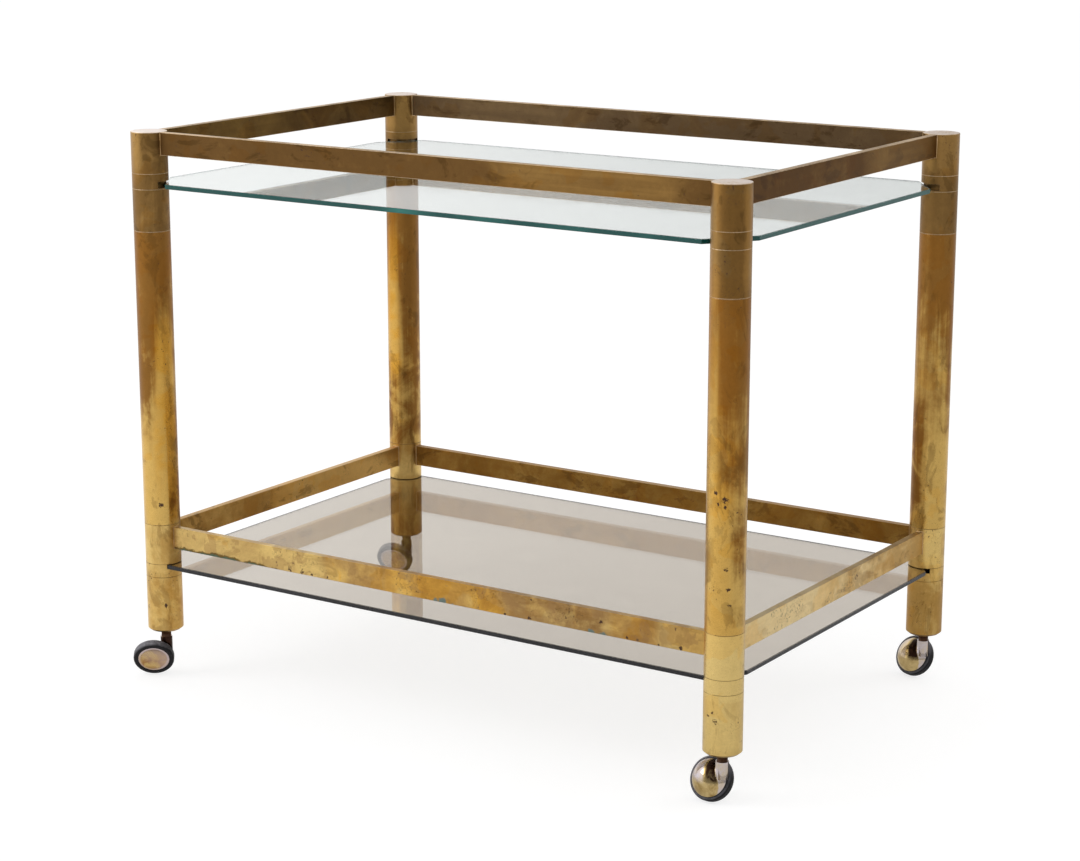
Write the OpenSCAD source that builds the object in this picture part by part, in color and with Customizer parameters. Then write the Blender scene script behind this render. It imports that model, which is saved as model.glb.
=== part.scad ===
// A two-tier serving trolley: four round brass posts built up from short tube
// lengths, flat bar rails round each tier, two glass shelves let into notches in
// the posts, and four ball casters with sloping axles.
// Millimetres, +Z up. The origin is on the floor, under the middle of the four posts;
// +X runs to the right along the long side and +Y to the back.

/* [Plan] */
// Distance between the post centres along the long side
post_gap_x = 728; // [400:1:1100]
// Distance between the post centres along the short side
post_gap_y = 462; // [300:1:700]

/* [Posts] */
// Outer diameter of every post piece
post_d = 40; // [34:1:50]
// Wall of the post tubes
post_wall = 2.5; // [2.2:0.1:4]
// Height of the foot
foot_h = 65; // [60:1:120]
// Height of the ring that holds the lower shelf
lower_ring_h = 15; // [14:0.5:30]
// Height of the block that carries the lower rails
lower_block_h = 46; // [40:1:80]
// Height of the long tube between the tiers
tube_h = 332; // [200:1:600]
// Height of the spacer under the upper shelf
spacer_h = 47; // [30:1:90]
// Height of the ring that holds the upper shelf
upper_ring_h = 16.5; // [15:0.5:30]
// Height of the block that carries the upper rails
upper_block_h = 45.5; // [40:0.5:80]
// Chamfer round the bottom of the foot
foot_chamfer = 2.5; // [0.5:0.1:3]
// Thickness of the floor of the foot
foot_floor = 3.5; // [3:0.1:4.5]

/* [Rails] */
// Height of the rail bars
rail_h = 25; // [16:0.5:30]
// Thickness of the rail bars
rail_t = 8; // [5:0.5:14]
// Drop from the top of the lower rail block to the top of the lower rails
lower_rail_drop = 3.5; // [0:0.5:8]
// Drop from the top of the posts to the top of the upper rails
upper_rail_drop = 0; // [0:0.5:6]
// Brazed gap between a rail's end and its post
braze_gap = 0.1; // [0.05:0.05:0.3]

/* [Shelves] */
// Thickness of both glass shelves
glass_t = 5; // [4:0.5:7]
// Reach of the upper glass past the post centres
upper_glass_reach = 8; // [5:0.5:12]
// Reach of the lower glass past the post centres
lower_glass_reach = 12; // [5:0.5:13]
// Small bevel along the glass edges
glass_bevel = 0.5; // [0.3:0.1:1]
// Turn of the clipped corners: the angle between their outward direction and X
clip_turn = 36; // [30:1:60]
// How far the clipped corners of the upper glass reach into the posts
upper_corner_bite = 2.2; // [1.5:0.1:2.2]
// Gap between the clipped corners of the lower glass and the tie rods
lower_corner_gap = 1.7; // [1:0.1:4]
// Gap round the glass edge in the notches
notch_gap = 0.3; // [0.2:0.1:1]
// Height of the sill left under the upper glass in its notch
upper_sill = 1; // [0.5:0.1:3]
// Open height over the upper glass in its notch
upper_notch_air = 2.1; // [0.3:0.1:3]
// Open height over the lower glass in its notch
lower_notch_air = 0.2; // [0.1:0.1:0.5]

/* [Tie rods and plugs] */
// Diameter of the tie rods
rod_d = 8; // [6:0.5:10]
// Depth of the hole for the tie rod in the upper block
rod_hole_depth = 12; // [8:1:20]
// Solid brass left over the tie rod in the upper block
cap_t = 5; // [3:0.5:8]
// Thickness of the web inside the foot
web_t = 6; // [4:0.5:8]
// Height of the web's underside above the bottom of the foot
web_up = 44; // [42:0.5:46]
// Thickness of the washers under the webs
washer_t = 1.6; // [1:0.1:2.5]
// Diameter of the washers
washer_d = 20; // [18:0.5:24]
// Height of the tie nuts
nut_h = 6.5; // [5:0.5:8]
// Size across the flats of the tie nuts
nut_af = 15; // [15:0.5:17]
// Height of the locating plugs
plug_h = 8; // [6:0.5:9]
// Gap between the plugs or bushes and the tube wall
plug_gap = 0.05; // [0.02:0.01:0.1]

/* [Caster stem] */
// Height of the bush in the foot
bush_h = 25; // [22:0.5:26]
// Diameter of the pintle that turns in the bush
pintle_d = 9.5; // [8:0.5:10]
// Length of the pintle
pintle_h = 24; // [18:0.5:26]
// Running gap round the pintle, and round the axle stub
run_gap = 0.05; // [0.02:0.01:0.1]
// Diameter of the neck
neck_d = 11; // [10.5:0.1:12]
// Length of the neck that shows between the foot and the hood's socket
neck_show = 9.5; // [6:0.5:12]
// Gap between the neck's shoulder and the foot
shoulder_gap = 0.3; // [0.2:0.05:0.5]
// Drop from the foot to the middle of the ball
ball_drop = 30.5; // [28:0.5:38]
// Trail: sideways step from the pintle to the middle of the ball
trail = 14.5; // [12:0.5:16]
// Slope of the axle below the horizontal, in degrees
axle_slope = 26; // [22:1:32]
// Thickness of the plate that backs the hood
plate_t = 2.5; // [2:0.1:3]
// Diameter of the axle stub
axle_d = 7; // [5:0.5:8]

/* [Caster wheel] */
// Diameter of the brass wheel disc inside the tyre
disc_d = 36; // [33:0.5:40]
// Thickness of the tyre round the disc
tyre_wall = 5; // [4.5:0.1:6]
// Width of the tyre
tyre_w = 10; // [9:0.5:12]
// Rounding of the tyre's two edges
tyre_round = 2.5; // [2:0.5:4]
// Depth of the dish in the wheel disc's face
dish_depth = 1.2; // [0.5:0.1:2]
// Width of the raised rim round the dish
dish_rim = 2.5; // [1.5:0.1:4]
// Radius of the domed hood's rim
hood_r = 19.4; // [18.5:0.1:20.5]
// Depth of the dome, from its rim to its top
hood_depth = 10.5; // [9:0.5:14]
// Wall of the hood
hood_wall = 1.5; // [1.2:0.1:2]
// Wall of the hood's socket, in which the neck stands
socket_wall = 1.2; // [1:0.1:1.6]
// Gap between the hood's rim and the tyre
wheel_gap = 1.5; // [1.2:0.1:2.5]

/* [Caster positions] */
// Direction in which the front left caster trails, in degrees from +X
front_left_turn = 217; // [0:1:359]
// Direction in which the front right caster trails
front_right_turn = 179; // [0:1:359]
// Direction in which the back right caster trails
back_right_turn = 169; // [0:1:359]
// Direction in which the back left caster trails
back_left_turn = 198; // [0:1:359]

/* [Hidden] */
$fn = 96;
eps = 0.01;

brass = "#a8803c";
dark_brass = "#7d5c2c";
polished = "#b99a5c";
steel = "#4a4038";
rubber = "#2e2c2c";
clear = [0.75, 0.86, 0.84, 0.45];
smoke = [0.42, 0.38, 0.35, 0.7];

// The bottom half of a wheel: the lowest point of a rounded, sloping tyre
tyre_r = disc_d / 2 + tyre_wall;
ring_r = tyre_r - tyre_round;
tyre_start = wheel_gap / 2;
far_round = tyre_start + tyre_w - tyre_round;
ball_up = far_round * sin(axle_slope) + ring_r * cos(axle_slope) + tyre_round;

// Heights of the seams, from the floor up
foot_z = ball_up + ball_drop;
lower_ring_z = foot_z + foot_h;
lower_block_z = lower_ring_z + lower_ring_h;
tube_z = lower_block_z + lower_block_h;
spacer_z = tube_z + tube_h;
upper_ring_z = spacer_z + spacer_h;
upper_block_z = upper_ring_z + upper_ring_h;
post_top = upper_block_z + upper_block_h;

post_r = post_d / 2;
bore_r = post_r - post_wall;
rod_r = rod_d / 2;

// Each glass shelf: height of its underside, and the two legs of its clipped corners, from
// its reach past the posts and the distance of the clipped edge from the post axis
upper_glass_z = upper_ring_z + upper_sill;
lower_glass_z = lower_block_z - lower_notch_air - glass_t;
function clip_legs(reach, away) = [
    reach + (away + reach * sin(clip_turn)) / cos(clip_turn),
    reach + (away + reach * cos(clip_turn)) / sin(clip_turn)
];
upper_clip = clip_legs(upper_glass_reach, post_r - upper_corner_bite);
lower_clip = clip_legs(lower_glass_reach, rod_r + lower_corner_gap);

upper_rail_z = post_top - upper_rail_drop - rail_h;
lower_rail_z = tube_z - lower_rail_drop - rail_h;

// Inside the caster: everything is measured along the axle from the middle of the ball,
// except the lower end of the neck, which is measured down from the foot
dome_r = (hood_r * hood_r + hood_depth * hood_depth) / (2 * hood_depth);
dome_mid = dome_r - hood_depth - tyre_start;
plate_start = -tyre_start - plate_t;
plate_r = sqrt(pow(dome_r - hood_wall, 2) - pow(dome_mid - plate_start, 2)) - plug_gap;
neck_z = 4 - ball_drop;
disc_start = tyre_start + 0.25;
disc_face = tyre_start + tyre_w - 0.6;
axle_end = disc_face - dish_depth - 1.8;
boss_r = axle_d / 2 + 4;

// One row for each corner: name, side in X, side in Y, direction of trail, hand of the caster
CORNERS = [
    ["front_left", -1, -1, front_left_turn, 1],
    ["front_right", 1, -1, front_right_turn, -1],
    ["back_right", 1, 1, back_right_turn, -1],
    ["back_left", -1, 1, back_left_turn, 1]
];
POST_PIECES = [
    "foot", "lower_shelf_ring", "lower_rail_block", "post_tube",
    "spacer", "upper_shelf_ring", "upper_rail_block"
];
CASTER_PIECES = ["caster_stem", "caster_hood", "wheel_disc", "tyre"];
SIDES = ["front", "back", "left", "right"];

function post_at(c) = [c[1] * post_gap_x / 2, c[2] * post_gap_y / 2, 0];

module at_post(c) translate(post_at(c)) children();
module at_every_post() for (c = CORNERS) at_post(c) children();

// A length of post tube that stands on z, open at both ends
module post_length(z, h) {
    translate([0, 0, z])
        difference() {
            cylinder(h = h, r = post_r);
            translate([0, 0, -1]) cylinder(h = h + 2, r = bore_r);
        }
}

// The room for a glass corner: everything on the trolley's side of the glass edge
module notch(c, reach, z, h) {
    far = post_d * 2;
    edge = reach + notch_gap;
    x0 = c[1] < 0 ? -edge : edge - far;
    y0 = c[2] < 0 ? -edge : edge - far;
    translate([x0, y0, z]) cube([far, far, h]);
}

// Foot: tube with a pierced floor, a chamfer round its bottom and a web for the tie rod
module foot(c) color(brass) at_post(c) translate([0, 0, foot_z]) {
    hole_r = pintle_d / 2 + 1;
    rotate_extrude() polygon([
        [hole_r, 0],
        [post_r - foot_chamfer, 0],
        [post_r, foot_chamfer],
        [post_r, foot_h],
        [bore_r, foot_h],
        [bore_r, web_up + web_t],
        [rod_r + plug_gap, web_up + web_t],
        [rod_r + plug_gap, web_up],
        [bore_r, web_up],
        [bore_r, foot_floor],
        [hole_r, foot_floor]
    ]);
}

// Lower shelf ring: its notch is cut down from its top
module lower_shelf_ring(c) color(brass) at_post(c)
    difference() {
        post_length(lower_ring_z, lower_ring_h);
        notch(c, lower_glass_reach, lower_glass_z, glass_t + lower_notch_air + 1);
    }

module lower_rail_block(c) color(brass) at_post(c) post_length(lower_block_z, lower_block_h);

module post_tube(c) color(dark_brass) at_post(c) post_length(tube_z, tube_h);

module spacer(c) color(dark_brass) at_post(c) post_length(spacer_z, spacer_h);

// Upper shelf ring: its notch is a slot over a low sill
module upper_shelf_ring(c) color(dark_brass) at_post(c)
    difference() {
        post_length(upper_ring_z, upper_ring_h);
        notch(c, upper_glass_reach, upper_glass_z, glass_t + upper_notch_air);
    }

// Upper rail block: closed at the top, with a blind hole for the tie rod
module upper_rail_block(c) color(dark_brass) at_post(c) {
    solid_h = cap_t + rod_hole_depth;
    translate([0, 0, upper_block_z])
        rotate_extrude() polygon([
            [bore_r, 0],
            [post_r, 0],
            [post_r, upper_block_h],
            [0, upper_block_h],
            [0, upper_block_h - cap_t],
            [rod_r + plug_gap, upper_block_h - cap_t],
            [rod_r + plug_gap, upper_block_h - solid_h],
            [bore_r, upper_block_h - solid_h]
        ]);
}

// A rail along X or Y between two posts, its ends hollowed to the posts' curve
module rail(along_x, side, z) {
    gap = along_x ? post_gap_x : post_gap_y;
    off = (along_x ? post_gap_y : post_gap_x) / 2 * side;
    move = along_x ? [0, off, z] : [off, 0, z];
    translate(move)
        rotate([0, 0, along_x ? 0 : 90])
            difference() {
                translate([-gap / 2, -rail_t / 2, 0]) cube([gap, rail_t, rail_h]);
                for (end = [-1, 1])
                    translate([end * gap / 2, 0, -1]) cylinder(h = rail_h + 2, r = post_r + braze_gap);
            }
}

module front_rail(z, tint) color(tint) rail(true, -1, z);
module back_rail(z, tint) color(tint) rail(true, 1, z);
module left_rail(z, tint) color(tint) rail(false, -1, z);
module right_rail(z, tint) color(tint) rail(false, 1, z);

// Outline of a glass shelf with clipped corners, drawn in by a margin
module glass_outline(reach, clip, inset) {
    x = post_gap_x / 2 + reach - inset;
    y = post_gap_y / 2 + reach - inset;
    kx = clip[0] - inset * (1 + (sin(clip_turn) - 1) / cos(clip_turn));
    ky = clip[1] - inset * (1 + (cos(clip_turn) - 1) / sin(clip_turn));
    polygon([
        [-x + kx, -y], [x - kx, -y], [x, -y + ky], [x, y - ky],
        [x - kx, y], [-x + kx, y], [-x, y - ky], [-x, -y + ky]
    ]);
}

// A glass shelf: the full plate between two thin layers that step in for the bevel
module glass(reach, clip, z) {
    translate([0, 0, z]) {
        linear_extrude(height = glass_t) glass_outline(reach, clip, glass_bevel);
        translate([0, 0, glass_bevel])
            linear_extrude(height = glass_t - 2 * glass_bevel) glass_outline(reach, clip, 0);
    }
}

module upper_glass() color(clear) glass(upper_glass_reach, upper_clip, upper_glass_z);
module lower_glass() color(smoke) glass(lower_glass_reach, lower_clip, lower_glass_z);

// Tie rods run from under the nut to the end of the blind hole in the upper block
rod_z = foot_z + web_up - washer_t - nut_h - 1;
module tie_rods() color(steel) at_every_post()
    translate([0, 0, rod_z]) cylinder(h = post_top - cap_t - plug_gap - rod_z, r = rod_r, $fn = 48);

module tie_washers() color(steel) at_every_post()
    translate([0, 0, foot_z + web_up - washer_t])
        difference() {
            cylinder(h = washer_t, d = washer_d);
            translate([0, 0, -1]) cylinder(h = washer_t + 2, r = rod_r + plug_gap);
        }

module tie_nuts() color(steel) at_every_post()
    translate([0, 0, foot_z + web_up - washer_t - nut_h])
        difference() {
            cylinder(h = nut_h, d = nut_af / cos(30), $fn = 6);
            translate([0, 0, -1]) cylinder(h = nut_h + 2, r = rod_r + plug_gap);
        }

// Locating plugs: across the plain seams, over the lower glass, and one long plug that
// runs through the upper shelf ring, behind the glass
module locating_plug(z, h = plug_h)
    translate([0, 0, z])
        difference() {
            cylinder(h = h, r = bore_r - plug_gap);
            translate([0, 0, -1]) cylinder(h = h + 2, r = rod_r + plug_gap);
        }

module locating_plugs() color(brass) at_every_post() {
    for (seam = [lower_ring_z, tube_z, spacer_z]) locating_plug(seam - plug_h / 2);
    locating_plug(lower_block_z);
    locating_plug(upper_ring_z - plug_h, upper_ring_h + plug_h * 1.5);
}

module caster_bushes() color(steel) at_every_post()
    translate([0, 0, foot_z + foot_floor])
        difference() {
            cylinder(h = bush_h, r = bore_r - plug_gap);
            translate([0, 0, -1]) cylinder(h = bush_h + 2, r = pintle_d / 2 + run_gap);
        }

// Caster places: at_foot has +X along the trail, at_axle has +Z along the axle to the wheel
module at_foot(c) at_post(c) translate([0, 0, foot_z]) rotate([0, 0, c[3]]) children();
module in_ball(c) translate([trail, 0, -ball_drop]) rotate([-c[4] * (90 + axle_slope), 0, 0]) children();
module at_axle(c) at_foot(c) in_ball(c) children();

// Everything on the wheel's side of the hood's rim
module wheel_side(c) in_ball(c) translate([0, 0, -tyre_start]) cylinder(h = 2 * tyre_r, r = 2 * tyre_r);

// Stem: pintle, neck, back plate and axle stub; the neck is cut off level with the plate
module caster_stem(c) color(steel) at_foot(c) {
    translate([0, 0, -shoulder_gap - eps]) cylinder(h = pintle_h + shoulder_gap + eps, d = pintle_d);
    difference() {
        translate([0, 0, neck_z]) cylinder(h = -shoulder_gap - neck_z, d = neck_d);
        wheel_side(c);
    }
    in_ball(c) translate([0, 0, plate_start]) {
        cylinder(h = plate_t, r = plate_r);
        cylinder(h = axle_end - plate_start, d = axle_d);
    }
}

// A cap of a ball about the middle of the dome, up to a place along the axle
module dome_cap(r, end)
    rotate_extrude()
        intersection() {
            translate([0, dome_mid]) circle(r = r);
            translate([0, dome_mid - r - 1]) square([r + 1, end - dome_mid + r + 1]);
        }

// Hood: a hollow dome with an upright socket for the neck, open to the wheel
module caster_hood(c) color(polished) at_foot(c)
    difference() {
        union() {
            in_ball(c) dome_cap(dome_r, -tyre_start);
            translate([0, 0, neck_z - socket_wall])
                cylinder(h = socket_wall - neck_show - neck_z, r = neck_d / 2 + socket_wall);
        }
        in_ball(c) dome_cap(dome_r - hood_wall, 1 - tyre_start);
        translate([0, 0, neck_z - plug_gap]) cylinder(h = ball_drop, d = neck_d + 2 * plug_gap);
        wheel_side(c);
    }

// Wheel disc: dished face to the outside, blind bore that runs on the axle stub
module wheel_disc(c) color(polished) at_axle(c) {
    bore = axle_d / 2 + run_gap;
    dish_r = disc_d / 2 - dish_rim;
    web = tyre_start + 1.5;
    rotate_extrude() polygon([
        [bore, disc_start],
        [boss_r, disc_start],
        [boss_r, web],
        [disc_d / 2, web],
        [disc_d / 2, disc_face - 0.5],
        [disc_d / 2 - 0.5, disc_face],
        [dish_r, disc_face],
        [dish_r - dish_depth, disc_face - dish_depth],
        [0, disc_face - dish_depth],
        [0, axle_end + 0.3],
        [bore, axle_end + 0.3]
    ]);
}

// Tyre: a band with two rounded edges
module tyre(c) color(rubber) at_axle(c)
    rotate_extrude()
        union() {
            translate([disc_d / 2, tyre_start]) square([tyre_wall - tyre_round, tyre_w]);
            translate([disc_d / 2, tyre_start + tyre_round])
                square([tyre_wall, tyre_w - 2 * tyre_round]);
            for (v = [tyre_start + tyre_round, far_round])
                translate([ring_r, v])
                    intersection() {
                        circle(r = tyre_round);
                        translate([0, -tyre_round]) square([tyre_round, 2 * tyre_round]);
                    }
        }

for (c = CORNERS) {
    foot(c);
    lower_shelf_ring(c);
    lower_rail_block(c);
    post_tube(c);
    spacer(c);
    upper_shelf_ring(c);
    upper_rail_block(c);
    caster_stem(c);
    caster_hood(c);
    wheel_disc(c);
    tyre(c);
}
front_rail(upper_rail_z, dark_brass);  // front_upper_rail
back_rail(upper_rail_z, dark_brass);  // back_upper_rail
left_rail(upper_rail_z, dark_brass);  // left_upper_rail
right_rail(upper_rail_z, dark_brass);  // right_upper_rail
front_rail(lower_rail_z, brass);  // front_lower_rail
back_rail(lower_rail_z, brass);  // back_lower_rail
left_rail(lower_rail_z, brass);  // left_lower_rail
right_rail(lower_rail_z, brass);  // right_lower_rail
upper_glass();
lower_glass();
tie_rods();
tie_washers();
tie_nuts();
locating_plugs();
caster_bushes();
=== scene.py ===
# Serving trolley on four round brass posts: two glass shelves let into the posts, a
# flat bar rail round each of them, and four ball casters. Metres, +Z up, the origin on
# the floor under the middle of the posts, +X along the long side, +Y to the back.
from math import atan2, cos, degrees, pi, radians, sin, sqrt

import bmesh
import bpy
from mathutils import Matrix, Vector


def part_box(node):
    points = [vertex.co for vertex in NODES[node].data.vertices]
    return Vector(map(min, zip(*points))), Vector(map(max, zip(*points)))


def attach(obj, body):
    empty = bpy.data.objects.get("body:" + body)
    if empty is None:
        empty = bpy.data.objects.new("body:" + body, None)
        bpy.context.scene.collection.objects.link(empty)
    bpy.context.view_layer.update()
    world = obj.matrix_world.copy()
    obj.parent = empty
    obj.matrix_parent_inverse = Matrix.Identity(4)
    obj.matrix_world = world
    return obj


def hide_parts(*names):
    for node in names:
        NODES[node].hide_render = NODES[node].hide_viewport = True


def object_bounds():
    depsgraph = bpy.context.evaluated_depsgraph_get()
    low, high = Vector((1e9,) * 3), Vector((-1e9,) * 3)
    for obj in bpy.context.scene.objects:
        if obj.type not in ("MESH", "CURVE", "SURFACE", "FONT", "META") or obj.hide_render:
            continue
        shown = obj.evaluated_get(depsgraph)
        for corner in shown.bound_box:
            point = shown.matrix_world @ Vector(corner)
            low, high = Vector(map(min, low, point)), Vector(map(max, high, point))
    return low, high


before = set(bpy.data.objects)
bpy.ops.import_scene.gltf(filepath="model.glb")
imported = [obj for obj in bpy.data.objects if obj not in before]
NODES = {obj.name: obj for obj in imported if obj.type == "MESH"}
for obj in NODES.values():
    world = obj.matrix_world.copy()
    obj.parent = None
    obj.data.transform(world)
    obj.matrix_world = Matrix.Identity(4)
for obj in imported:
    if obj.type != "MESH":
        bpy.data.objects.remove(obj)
cad_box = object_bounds()

# ------------------------------------------------------------------------------------
# Camera: at the photograph's viewing angle, from the front right corner and a little
# above, with a long lens. It comes first, so that every later section can be judged.
# ------------------------------------------------------------------------------------
camera_data = bpy.data.cameras.new("camera")
camera_data.sensor_width = 36.0
camera_data.lens = 85.716
camera = bpy.data.objects.new("camera", camera_data)
camera.location = (1.53821, -2.33368, 0.95439)
camera.rotation_euler = (radians(90 - 13.41), 0, radians(33.48))
bpy.context.collection.objects.link(camera)
bpy.context.scene.camera = camera


# ------------------------------------------------------------------------------------
# Posts: each is a stack of turned lengths of 40 mm brass tube, drawn together by a rod
# inside, so fine seams run round it. Old lacquer and handling have left the top brown
# and the lower half golden, with upright streaks, stains and small dark pits. Bands of
# painted highlight and painted shade also run up the posts, mixed with real wear.
# ------------------------------------------------------------------------------------
# Radii of the tube and its bore, how round its ends are, and the foot's chamfer, floor and hole
POST_R = 0.0200
BORE_R = 0.0175
SEAM_EDGE = 0.0005
FOOT_CHAMFER = 0.0025
FOOT_FLOOR = 0.0035
FOOT_HOLE_R = 0.00575
CORNERS = {
    "front_left": (-0.364, -0.231),
    "front_right": (0.364, -0.231),
    "back_right": (0.364, 0.231),
    "back_left": (-0.364, 0.231),
}

# Where a post is painted brighter (above 0) or darker (below 0): bands of painted
# highlight and painted shade, as light and reflections fall on the posts, mixed with real
# wear. Columns: direction and half width in degrees, lowest and highest place, how much,
# how much old amber lacquer is left there, and how soft the zone's edge is
POST_ZONES = {
    "front_left": [(-110, 34, 0.577, 0.64, 0.5, 0.0, 0.4),
                   (-95, 45, 0.28, 0.42, -0.35, 0.0, 0.5), (-25, 36, 0.24, 0.43, 0.5, 0.9, 0.5),
                   (8, 32, 0.184, 0.312, -0.32, 0.9, 0.06), (-80, 60, 0.186, 0.30, 0.2, 0.1, 0.4),
                   (-70, 50, 0.055, 0.12, 0.0, 0.1, 0.4), (0, 40, 0.055, 0.12, -0.2, 0.3, 0.4)],
    "front_right": [(-112, 26, 0.30, 0.51, 0.45, 0.2, 0.5), (-75, 30, 0.20, 0.31, 0.3, 0.3, 0.5),
                    (-62, 30, 0.30, 0.50, 0.0, 0.5, 0.5), (-20, 30, 0.18, 0.31, -0.2, 0.0, 0.5),
                    (-75, 100, 0.118, 0.183, 0.7, 0.0, 0.1), (-60, 110, 0.055, 0.12, 0.3, 0.0, 0.4),
                    (-61, 34, 0.51, 0.64, -0.45, 0.0, 0.5), (-115, 30, 0.51, 0.64, 0.35, 0.0, 0.4),
                    (-5, 30, 0.51, 0.64, 0.3, 0.0, 0.4)],
    "back_right": [(-65, 100, 0.577, 0.64, 0.3, 0.0, 0.2), (-105, 40, 0.32, 0.51, 0.15, 0.0, 0.5),
                   (-122, 34, 0.19, 0.31, -0.6, 0.3, 0.5), (-50, 34, 0.137, 0.18, 0.5, 0.3, 0.3),
                   (-65, 100, 0.04, 0.12, -0.35, 0.0, 0.3)],
    "back_left": [(-53, 100, 0.577, 0.64, 0.35, 0.0, 0.2), (-100, 32, 0.27, 0.48, 0.4, 0.9, 0.4),
                  (-15, 34, 0.28, 0.52, -0.45, 0.0, 0.4), (-20, 44, 0.18, 0.29, -0.4, -0.1, 0.5),
                  (-110, 40, 0.18, 0.29, -0.6, 0.3, 0.5), (-53, 130, 0.04, 0.12, -1.1, 0.0, 0.2)],
}
# The darkest spots on the posts: where they are, and their radii
POST_SPOTS = [(0.3633, -0.2510, 0.3240, 0.0016), (0.3660, -0.2509, 0.3130, 0.0013),
              (0.3723, -0.2492, 0.3180, 0.0021), (0.3728, -0.2489, 0.3110, 0.0017),
              (0.3741, -0.2482, 0.2480, 0.0015), (0.3760, -0.2470, 0.2280, 0.0016),
              (0.3776, -0.2456, 0.2120, 0.0014), (0.3575, -0.2499, 0.0975, 0.0014),
              (0.3661, -0.2509, 0.0925, 0.0017), (0.3630, -0.2510, 0.1010, 0.0012),
              (-0.3510, -0.2462, 0.2050, 0.0020), (-0.3420, -0.2365, 0.2050, 0.0011),
              (-0.3500, -0.2452, 0.0870, 0.0019), (-0.3720, -0.2493, 0.0840, 0.0012)]


def linear(code):
    """An sRGB hex colour as the linear numbers that shaders take."""
    parts = [int(code[i:i + 2], 16) / 255 for i in (1, 3, 5)]
    parts = [p / 12.92 if p <= 0.04045 else ((p + 0.055) / 1.055) ** 2.4 for p in parts]
    return (*parts, 1.0)


def add(tree, kind, inputs=None, **settings):
    """Adds a node, sets its settings, and gives each input a value or a link.

    A link comes from a socket, or from the first output in use of a node.
    """
    node = tree.nodes.new(kind)
    for name, value in settings.items():
        setattr(node, name, value)
    for key, value in (inputs or {}).items():
        if isinstance(value, bpy.types.Node):
            value = next(socket for socket in value.outputs if socket.enabled)
        if isinstance(value, bpy.types.NodeSocket):
            tree.links.new(value, node.inputs[key])
        else:
            node.inputs[key].default_value = value
    return node


def new_material(name):
    """A new material, its emptied tree, and the place on the piece, which patterns follow."""
    material = bpy.data.materials.new(name)
    material.use_nodes = True
    tree = material.node_tree
    tree.nodes.clear()
    return material, tree, add(tree, "ShaderNodeTexCoord").outputs["Object"]


def surfaced(material, height, strength, depth, inputs):
    """Ends a material with its surface, in relief of a strength and a depth in metres."""
    tree = material.node_tree
    relief = add(tree, "ShaderNodeBump", {
        "Height": height, "Strength": strength, "Distance": depth})
    surface = add(tree, "ShaderNodeBsdfPrincipled", {**inputs, "Normal": relief})
    add(tree, "ShaderNodeOutputMaterial", {0: surface})
    return material


def smear(scale, along):
    """Scales for a pattern that is drawn out along one axis of the piece."""
    return tuple(scale[0] if axis != along else scale[1] for axis in "XYZ")


def dark_spots(tree, place, uneven, spots):
    """1 inside any of the listed spots, each a ragged blot of its own radius."""
    total = 0.0
    for x, y, z, r in spots:
        away = add(tree, "ShaderNodeVectorMath", {0: place, 1: (x, y, z)}, operation="DISTANCE")
        # the unevenness is about a half, so it adds about 3 radii, and its swings fray the edge
        away = add(tree, "ShaderNodeMath", {0: uneven, 1: 6.0 * r, 2: away},
                   operation="MULTIPLY_ADD")
        near = add(tree, "ShaderNodeMapRange", {
            "Value": away, "From Min": 3.6 * r, "From Max": 4.3 * r, "To Min": 1.0, "To Max": 0.0})
        total = add(tree, "ShaderNodeMath", {0: near, 1: total}, operation="MAXIMUM")
    return total


def pitting(tree, place, patch, mottle, pits, spots):
    """Where brass is eaten: pits about 1 mm across, marks that crawl, and the listed spots."""
    speck = add(tree, "ShaderNodeTexNoise", {"Vector": place, "Scale": 330.0, "Detail": 2.0})
    # pits gather in clusters 40 mm across, and marks crawl through some of them
    crowd = add(tree, "ShaderNodeTexNoise", {"Vector": place, "Scale": 27.0, "Detail": 2.0})
    gathered = add(tree, "ShaderNodeMapRange", {
        "Value": crowd, "From Min": 0.48, "From Max": 0.62, "To Min": -0.04, "To Max": 0.06})
    pitted = add(tree, "ShaderNodeMath", {0: speck, 1: gathered})
    pitted = add(tree, "ShaderNodeMapRange", {
        "Value": pitted, "From Min": 0.745 - 0.035 * pits, "From Max": 0.785 - 0.035 * pits,
        "To Max": 0.85})
    wander = add(tree, "ShaderNodeMath", {0: patch, 1: 0.5}, operation="SUBTRACT")
    wander = add(tree, "ShaderNodeMath", {0: wander}, operation="ABSOLUTE")
    crawl = add(tree, "ShaderNodeMapRange", {
        "Value": wander, "From Min": 0.004, "From Max": 0.012, "To Min": 1.0, "To Max": 0.0})
    crawl_here = add(tree, "ShaderNodeMapRange", {
        "Value": crowd, "From Min": 0.57, "From Max": 0.60, "To Max": pits})
    crawl = add(tree, "ShaderNodeMath", {0: crawl, 1: crawl_here}, operation="MULTIPLY")
    pitted = add(tree, "ShaderNodeMath", {0: pitted, 1: crawl}, operation="MAXIMUM")
    if spots:
        blots = dark_spots(tree, place, mottle, spots)
        pitted = add(tree, "ShaderNodeMath", {0: blots, 1: pitted}, operation="MAXIMUM")
    return pitted


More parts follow.
